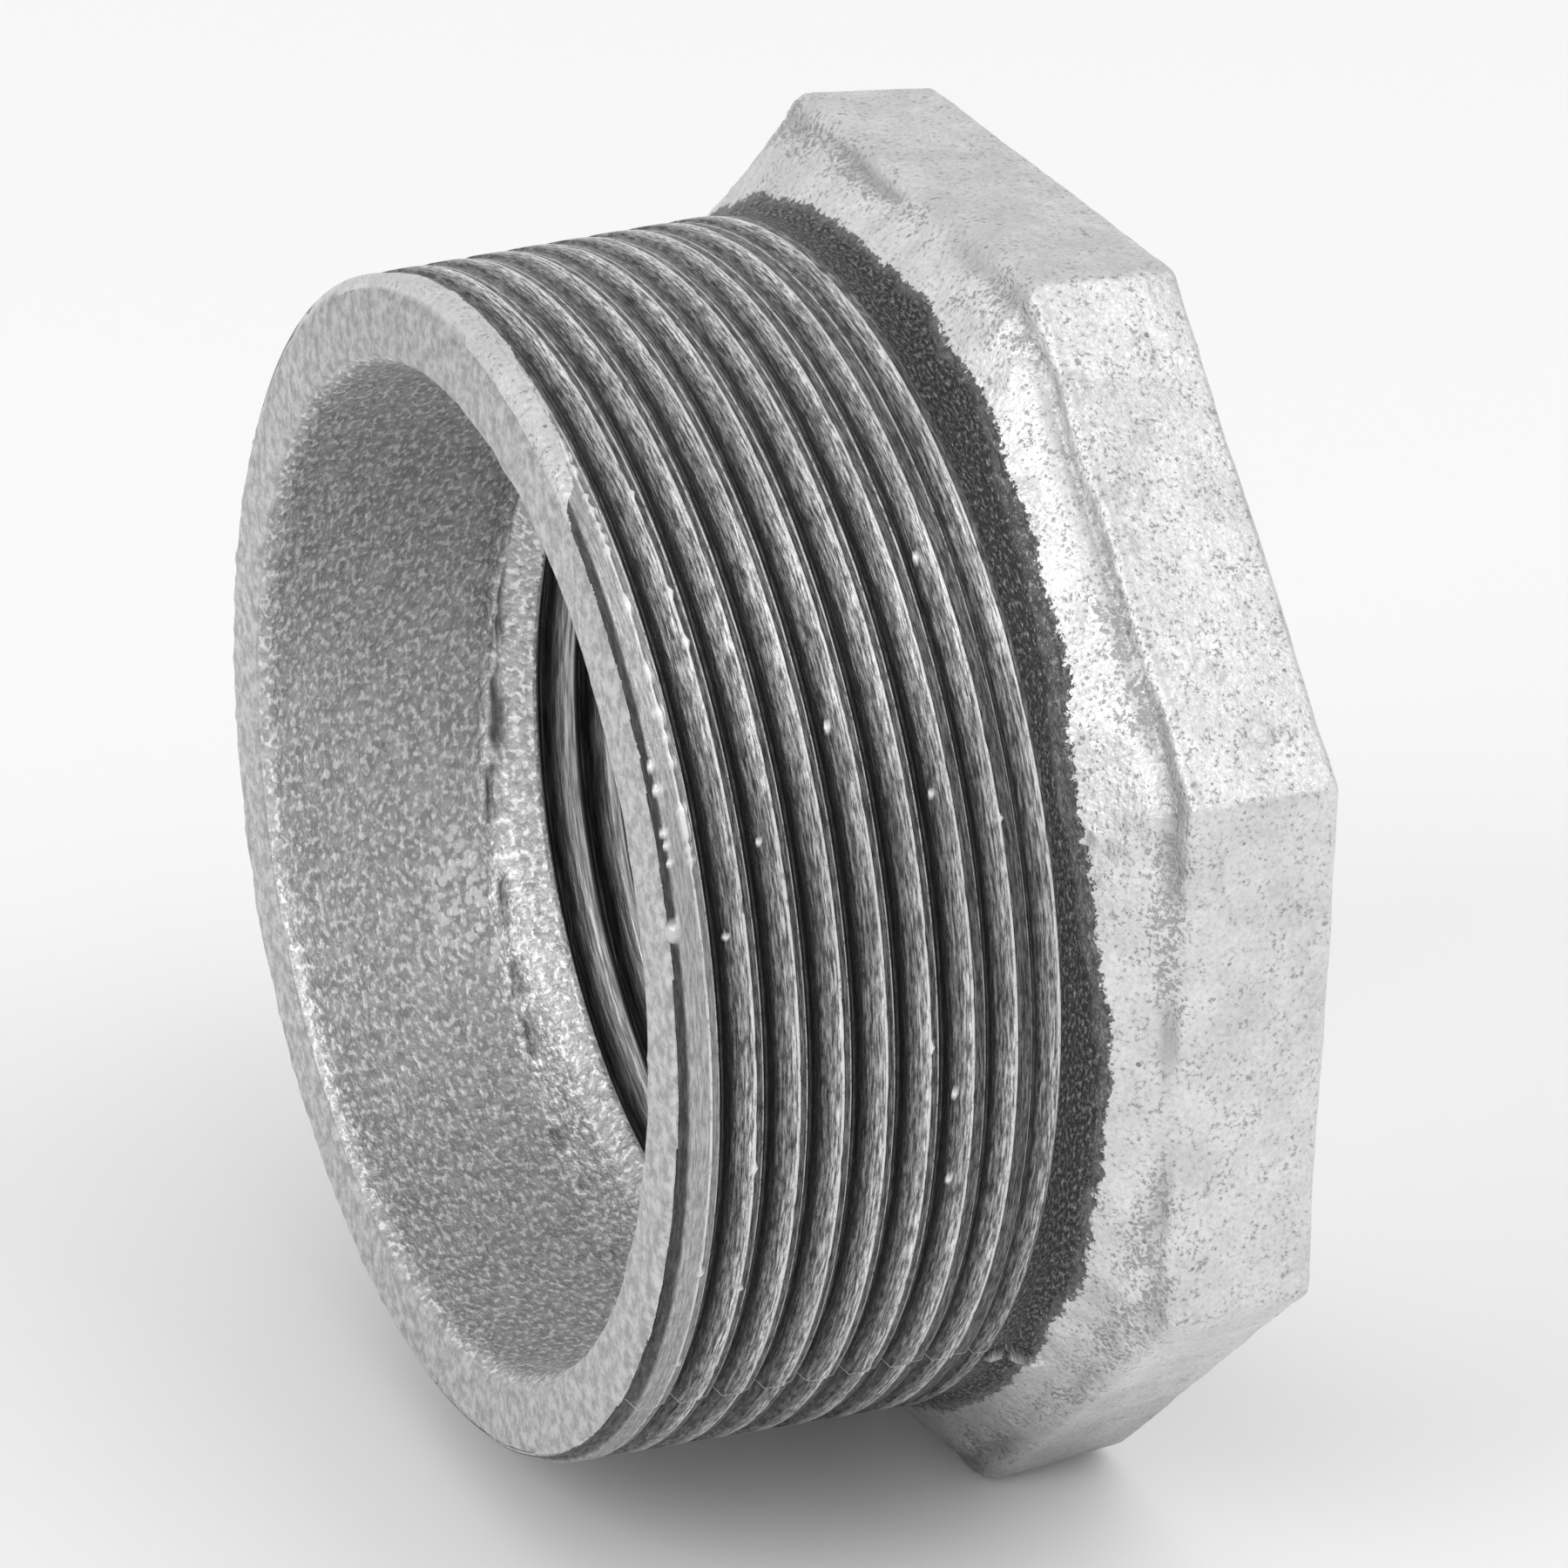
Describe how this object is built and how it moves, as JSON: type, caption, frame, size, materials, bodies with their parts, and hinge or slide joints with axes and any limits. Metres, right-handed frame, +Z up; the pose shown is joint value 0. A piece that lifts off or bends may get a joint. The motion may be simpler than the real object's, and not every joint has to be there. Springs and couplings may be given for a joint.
{
  "type": "threaded reducing bushing",
  "caption": "Galvanised cast-iron reducing bushing with an octagonal head, taper pipe thread outside and smaller pipe thread inside.",
  "frame": {"origin": "centre of the bounding box, on the flow axis at mid-length", "axes": "+X along the flow axis from the male end to the head's face, +Z up through the middle of one flat of the octagon"},
  "size_m": [0.0322, 0.066, 0.066],
  "materials": {
    "galvanised_iron": "hot-dip galvanised casting, cut threads bare and darkened"
  },
  "bodies": {
    "root": {"bushing_casting": "galvanised_iron"}
  },
  "joints": []
}
